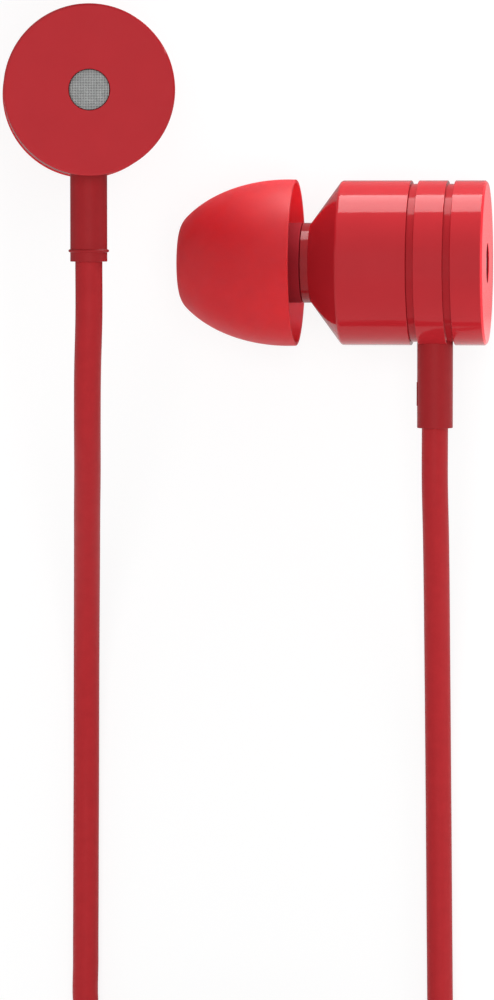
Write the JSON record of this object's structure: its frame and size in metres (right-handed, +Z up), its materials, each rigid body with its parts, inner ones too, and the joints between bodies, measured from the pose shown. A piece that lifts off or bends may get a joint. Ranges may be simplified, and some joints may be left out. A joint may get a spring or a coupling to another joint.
{
  "type": "wired earphones",
  "caption": "Wired in-ear earphones with round metal barrels, silicone ear tips, strain reliefs, round cords, splitter and a stereo mini plug.",
  "frame": {"origin": "bottom centre of the two earphones' box, without the cords, on the surface they rest on", "axes": "+Z up from that surface; +X along the two earphones' longest extent, from the standing one to the lying one; the cords run out towards -Y"},
  "size_m": [0.0352, 0.1575, 0.0229],
  "materials": {
    "silicone": "matte",
    "lacquer": "gloss",
    "mesh": "woven",
    "jacket": "satin",
    "splitter": "satin",
    "copper": "enamelled",
    "black_plastic": "matte",
    "nickel": "plated",
    "magnet": "plated",
    "film": "satin",
    "resin": "satin",
    "tie": "satin",
    "contact": "polished"
  },
  "bodies": {
    "main": {"left_front_housing": "lacquer", "left_nozzle_mesh": "mesh", "left_middle_housing": "lacquer", "left_rear_cap": "lacquer", "left_vent_mesh": "mesh", "left_strain_relief": "jacket", "left_cord_knot": "jacket", "left_wires": "copper", "left_driver_frame": "black_plastic", "left_yoke": "nickel", "left_magnet": "magnet", "left_top_plate": "nickel", "left_surround": "film", "left_terminal_board": "resin", "right_front_housing": "lacquer", "right_nozzle_mesh": "mesh", "right_middle_housing": "lacquer", "right_rear_cap": "lacquer", "right_vent_mesh": "mesh", "right_strain_relief": "jacket", "right_cord_knot": "jacket", "right_wires": "copper", "right_driver_frame": "black_plastic", "right_yoke": "nickel", "right_magnet": "magnet", "right_top_plate": "nickel", "right_surround": "film", "right_terminal_board": "resin", "left_cord": "jacket", "left_coil": "jacket", "left_tail": "jacket", "right_cord": "jacket", "right_coil": "jacket", "right_tail": "jacket", "main_lead": "jacket", "main_coil": "jacket", "main_tail": "jacket", "splitter": "splitter", "branch_tie": "tie", "main_tie": "tie", "plug_tip": "contact", "plug_ring": "contact", "plug_sleeve": "contact", "plug_insulators": "black_plastic", "plug_grip": "lacquer", "plug_relief": "jacket"},
    "left_tip": {"left_ear_tip": "silicone"},
    "right_tip": {"right_ear_tip": "silicone"},
    "left_cone": {"left_voice_coil": "copper", "left_diaphragm": "film"},
    "right_cone": {"right_voice_coil": "copper", "right_diaphragm": "film"}
  },
  "joints": [
    {"name": "left_tip_pull", "type": "slide", "parent": "main", "child": "left_tip", "axis": [-0.0993, 0, -0.9951], "range_m": [0, 0.007]},
    {"name": "right_tip_pull", "type": "slide", "parent": "main", "child": "right_tip", "axis": [-0.9978, 0, -0.0663], "range_m": [0, 0.007]},
    {"name": "left_cone_stroke", "type": "slide", "parent": "main", "child": "left_cone", "axis": [0.0993, 0, 0.9951], "range_m": [-0.0002, 0.0002], "stiffness_N_per_m": 10},
    {"name": "right_cone_stroke", "type": "slide", "parent": "main", "child": "right_cone", "axis": [0.9978, 0, 0.0663], "range_m": [-0.0002, 0.0002], "stiffness_N_per_m": 10}
  ]
}
